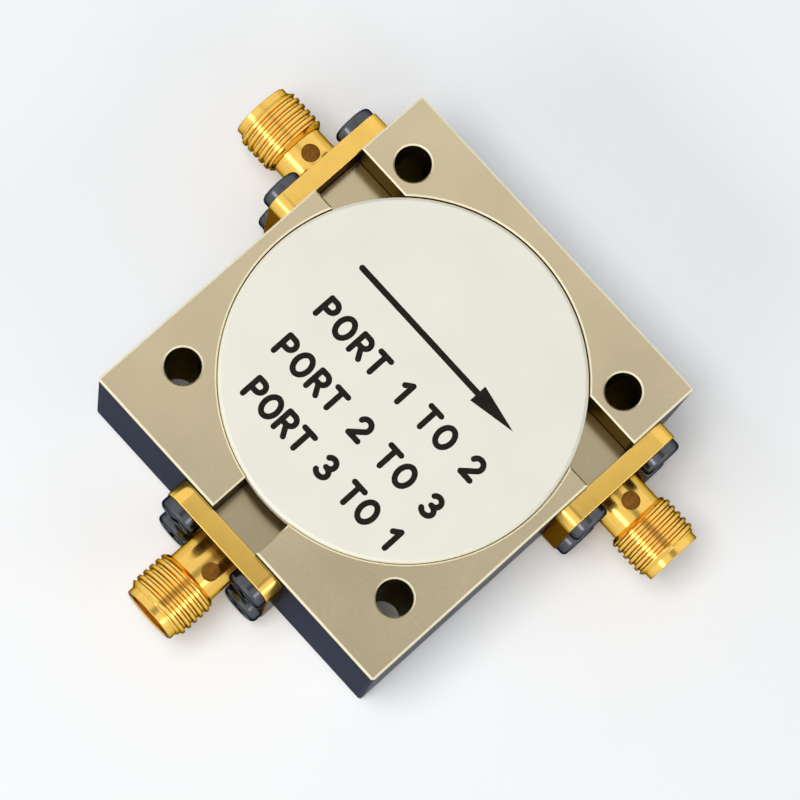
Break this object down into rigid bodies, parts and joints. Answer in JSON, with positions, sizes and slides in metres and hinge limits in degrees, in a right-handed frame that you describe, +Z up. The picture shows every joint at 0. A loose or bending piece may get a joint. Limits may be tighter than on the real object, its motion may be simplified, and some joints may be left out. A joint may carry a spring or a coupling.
{
  "type": "rf circulator",
  "caption": "Square plated block with a white round cover and flanged gold coaxial jacks on its sides, which passes radio power from each port to the next in turn.",
  "frame": {"origin": "on the base face, at the axis of the cover and the middle of the four mounting holes", "axes": "+X from port 1 to port 2, along the arrow; +Y away from port 3; +Z up through the cover"},
  "size_m": [0.0542, 0.0475, 0.015],
  "materials": {
    "nickel_plate": "satin nickel plating on milled soft steel",
    "white_paint": "matte white paint on a steel plate",
    "gold_plate": "bright gold plating on turned brass",
    "insulator": "smooth white fluoropolymer",
    "epoxy": "cured brown epoxy",
    "screw_steel": "bright stainless steel",
    "magnet": "ground ferrite magnet",
    "pole_steel": "ground soft steel",
    "ground_brass": "rolled brass sheet",
    "ferrite": "lapped microwave ferrite",
    "ring_ceramic": "ground white dielectric ceramic",
    "strip_copper": "photo-etched copper strip"
  },
  "bodies": {
    "root": {"housing": "nickel_plate", "channel_block_1": "nickel_plate", "channel_block_2": "nickel_plate", "channel_block_3": "nickel_plate", "cover": "white_paint", "connector_shell_1": "gold_plate", "connector_shell_2": "gold_plate", "connector_shell_3": "gold_plate", "centre_contact_1": "gold_plate", "centre_contact_2": "gold_plate", "centre_contact_3": "gold_plate", "connector_dielectric_1": "insulator", "connector_dielectric_2": "insulator", "connector_dielectric_3": "insulator", "epoxy_plug_1": "epoxy", "epoxy_plug_2": "epoxy", "epoxy_plug_3": "epoxy", "flange_screws_1": "screw_steel", "flange_screws_2": "screw_steel", "flange_screws_3": "screw_steel", "lower_magnet": "magnet", "upper_magnet": "magnet", "lower_pole_piece": "pole_steel", "upper_pole_piece": "pole_steel", "compensation_disc": "pole_steel", "lower_ground_plate": "ground_brass", "upper_ground_plate": "ground_brass", "lower_ferrite": "ferrite", "upper_ferrite": "ferrite", "lower_dielectric_ring": "ring_ceramic", "upper_dielectric_ring": "ring_ceramic", "centre_conductor": "strip_copper"}
  },
  "joints": []
}
